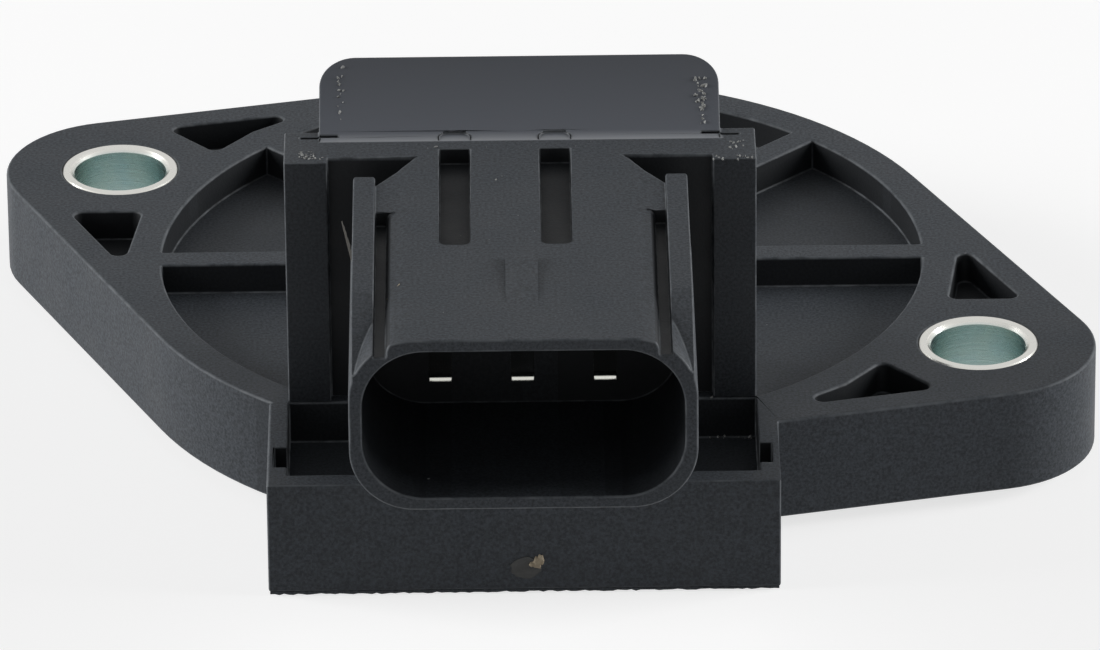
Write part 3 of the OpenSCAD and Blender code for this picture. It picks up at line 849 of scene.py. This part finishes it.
# %% Burrs and crumbs
BURR_PATCHES = [(-16.0, -14.9, -21.4, -20.2, 26, 0.16), (-15.6, -14.2, -21.5, -21.2, 8, 0.16),
                (11.0, 13.9, -22.3, -21.6, 24, 0.16), (12.4, 13.4, -20.6, -19.2, 10, 0.18),
                (10.5, 10.8, -17.4, -15.6, 18, 0.2), (10.2, 11.0, -16.0, -13.4, 30, 0.26),
                (-13.5, -13.1, -16.9, -12.2, 20, 0.18), (-8.5, 6.0, -20.9, -18.9, 6, 0.06),
                (-9.0, 6.5, -45.0, -22.5, 10, 0.06)]
LONE_BURRS = [(-7.0, -19.8, 0.17), (-3.04, -24.9, 0.13)]
SMALLEST_BURR = 0.3
burrs = []
for low_x, high_x, low_y, high_y, count, size in BURR_PATCHES:
    for _ in range(count):
        spot = on_top(rng.uniform(low_x, high_x), rng.uniform(low_y, high_y))
        burrs.append(chip(spot, rng.uniform(SMALLEST_BURR, 1) * size))
for x, y, size in LONE_BURRS:
    burrs.append(chip(on_top(x, y), size))
join_as(burrs, "tab_burrs", flash_plastic)

# %% [markdown]
# Two strips of thin flash stayed on the parting line: a dull one that leans out from the left fin,
# and a ragged one that hangs under the front block. Each is a flat grid whose outer rim is torn by
# random depths, and which then gets its thickness.

# %% Flash along the fin and under the front block
# How far the front strip's root lies inside the block
FLASH_ROOT = 0.05
fin_x = on_skin(-20, -32, 24, TO_RIGHT).x / MM
fin_flash_back = Vector((fin_x - 0.75, -28.4, 23.6))
fin_flash_front = Vector((fin_x + 0.02, -35.5, 23.9))
ragged_strip("fin_flash", fin_flash_back, fin_flash_front, out=Vector((0.8, 0.6, 0)),
             depths=(0.1, 0.55), tears=(0.4, 1), material=dull_flash, steps=14)
front_y = on_skin(0, -60, 2, INWARD).y / MM
front_flash_left, front_flash_right = (
    Vector((x, front_y + FLASH_ROOT, flange_low.z + FLASH_ROOT)) for x in (-18.2, 15.3))
ragged_strip("front_flash", front_flash_left, front_flash_right, out=DOWN,
             depths=(0.28, 0.2), tears=(0.5, 1), material=flange_plastic, steps=110)
print("front face at", round(front_y, 2), "mm, fin's outer face at", round(fin_x, 2), "mm")

# %% [markdown]
# The gate is where the plastic came in. Its stub was torn off, which left a shallow, uneven disc on
# the front block, and a tan crumb of three chips hangs at its upper right.

# %% Gate scar with its crumb
SCAR_X, SCAR_Z, SCAR_R, SCAR_THICKNESS = -1.35, 0.95, 1.05, 0.1
# How much wider or narrower, and how much lower than round, each point of the scar is
SCAR_WIDE, SCAR_LOW = (0.82, 1.08), (0.7, 0.8)
CRUMB_X, CRUMB_Y, CRUMB_Z = -0.62, front_y - 0.02, 1.35
# How far each chip lies to the right and above the crumb's middle, and its size
CRUMB_CHIPS = [(0, 0, 0.42), (0.24, 0.2, 0.3), (-0.3, -0.1, 0.22)]
deselect()
bpy.ops.mesh.primitive_cylinder_add(
    vertices=28, radius=SCAR_R * MM, depth=SCAR_THICKNESS * MM,
    location=Vector((SCAR_X, front_y, SCAR_Z)) * MM, rotation=(math.pi / 2, 0, 0))
scar = bpy.context.object
for vertex in scar.data.vertices:
    vertex.co.x *= rng.uniform(*SCAR_WIDE)
    vertex.co.y *= rng.uniform(*SCAR_LOW)
join_as([scar], "gate_scar", torn_plastic)
crumbs = [chip(Vector((CRUMB_X + right, CRUMB_Y, CRUMB_Z + up)) * MM, size, flat=0.8, finer=2)
          for right, up, size in CRUMB_CHIPS]
join_as(crumbs, "gate_crumb", tan_dirt)

# %% [markdown]
# A short fibre of lint lies on the connector's top. It is a curve with a round section, which is then
# converted to a mesh.

# %% Lint
LINT_ENDS = [(-10.1, -41.2), (-9.3, -40.0)]
LINT_R = 0.03
deselect()
bpy.ops.curve.primitive_bezier_curve_add(location=(0, 0, 0))
lint = bpy.context.object
for point, (x, y) in zip(lint.data.splines[0].bezier_points, LINT_ENDS):
    point.co = on_top(x, y) + Vector((0, 0, LINT_R)) * MM
    point.handle_left_type = point.handle_right_type = "AUTO"
lint.data.bevel_depth = LINT_R * MM
lint.data.use_fill_caps = True
bpy.ops.object.convert(target="MESH")
join_as([lint], "lint_fibre", tan_dirt)

# %% [markdown]
# The camera and the reflections see paper and studio as an even, bright ground, while both throw
# another amount of light at the part. So the floor and the world each have two shaders, and a Light
# Path node chooses between them.

# %% Tools for the surroundings
def seen_or_mirrored(tree):
    """1 for what the camera sees, directly, in a gloss or through glass, and 0 for other light."""
    path = tree.nodes.new("ShaderNodeLightPath")
    total = math_node(tree, "ADD", path.outputs["Is Camera Ray"], path.outputs["Is Glossy Ray"])
    return math_node(tree, "MINIMUM", math_node(tree, "ADD", total, path.outputs["Is Transmission Ray"]), 1)


def choose(tree, factor, *shaders):
    """The first of two shaders where the factor is 0, and the second where it is 1."""
    node = tree.nodes.new("ShaderNodeMixShader")
    for i, socket in enumerate((factor, *shaders)):
        tree.links.new(socket, node.inputs[i])
    return node.outputs[0]


def plain(tree, kind, tone):
    """A shader of one kind in a plain grey, from 0 for black to 1 for white."""
    node = tree.nodes.new(kind)
    node.inputs["Color"].default_value = (tone, tone, tone, 1)
    return node


# %% [markdown]
# The floor is plain paper. For the camera it also glows, which keeps it evenly white, and at the
# part it only throws back the light that falls on it. From below it is clear, so that the underside
# can be looked at.

# %% Floor
FLOOR_DROP = 0.25 * MM
# How pale the paper is to the part and to the camera, and how much it glows for the camera
PAPER_TONE, PAPER_SEEN, PAPER_GLOW = 0.8, 0.45, 0.72
deselect()
bpy.ops.mesh.primitive_plane_add(size=4, location=(0, 0, cad_box[0].z - FLOOR_DROP))
floor = bpy.context.object
floor.name = "floor"
paper = bpy.data.materials.new("paper")
paper.use_nodes = True
tree = paper.node_tree
tree.nodes.remove(tree.nodes["Principled BSDF"])
thrown_back = plain(tree, "ShaderNodeBsdfDiffuse", PAPER_TONE)
glow = tree.nodes.new("ShaderNodeEmission")
glow.inputs["Strength"].default_value = PAPER_GLOW
seen_paper = tree.nodes.new("ShaderNodeAddShader")
tree.links.new(plain(tree, "ShaderNodeBsdfDiffuse", PAPER_SEEN).outputs[0], seen_paper.inputs[0])
tree.links.new(glow.outputs[0], seen_paper.inputs[1])
upper = choose(tree, seen_or_mirrored(tree), thrown_back.outputs[0], seen_paper.outputs[0])
from_below = tree.nodes.new("ShaderNodeNewGeometry").outputs["Backfacing"]
clear = tree.nodes.new("ShaderNodeBsdfTransparent").outputs[0]
surface = choose(tree, from_below, upper, clear)
tree.links.new(surface, tree.nodes["Material Output"].inputs["Surface"])
put_on(floor, paper)
print("floor at", round(floor.location.z / MM, 2), "mm")

# %% [markdown]
# In the photograph both flanks are lit, and the faces towards the camera are dark. So a low softbox
# stands on each side, and only a faint one hangs above and behind. The light that the paper throws
# back fills in the front, and the studio adds very little.

# %% Lights
TARGET = Vector((-0.002, -0.012, 0.012))
# Each softbox has a place and a size in metres, and its watts
SOFTBOXES = {
    "top_softbox": ((0, 0.2, 0.6), (0.6, 0.4), 0.05),
    "left_softbox": ((-0.6, 0.02, 0.2), (0.35, 0.3), 3.2),
    "right_softbox": ((0.6, 0.02, 0.2), (0.35, 0.3), 3.1),
}
STUDIO_LIGHT, STUDIO_TONE = 0.05, 0.8
for name, (place, size, watts) in SOFTBOXES.items():
    lamp = bpy.data.lights.new(name, "AREA")
    lamp.shape = "RECTANGLE"
    lamp.size, lamp.size_y = size
    lamp.energy = watts
    softbox = bpy.data.objects.new(name, lamp)
    bpy.context.scene.collection.objects.link(softbox)
    softbox.location = place
    softbox.rotation_euler = (TARGET - Vector(place)).to_track_quat("-Z", "Y").to_euler()
world = bpy.data.worlds.new("studio")
bpy.context.scene.world = world
world.use_nodes = True
tree = world.node_tree
fill = tree.nodes["Background"]
fill.inputs["Color"].default_value = (1, 1, 1, 1)
fill.inputs["Strength"].default_value = STUDIO_LIGHT
seen_studio = plain(tree, "ShaderNodeBackground", STUDIO_TONE)
surface = choose(tree, seen_or_mirrored(tree), fill.outputs[0], seen_studio.outputs[0])
tree.links.new(surface, tree.nodes["World Output"].inputs["Surface"])
bpy.context.scene.view_settings.view_transform = "Standard"
print("softboxes", list(SOFTBOXES))
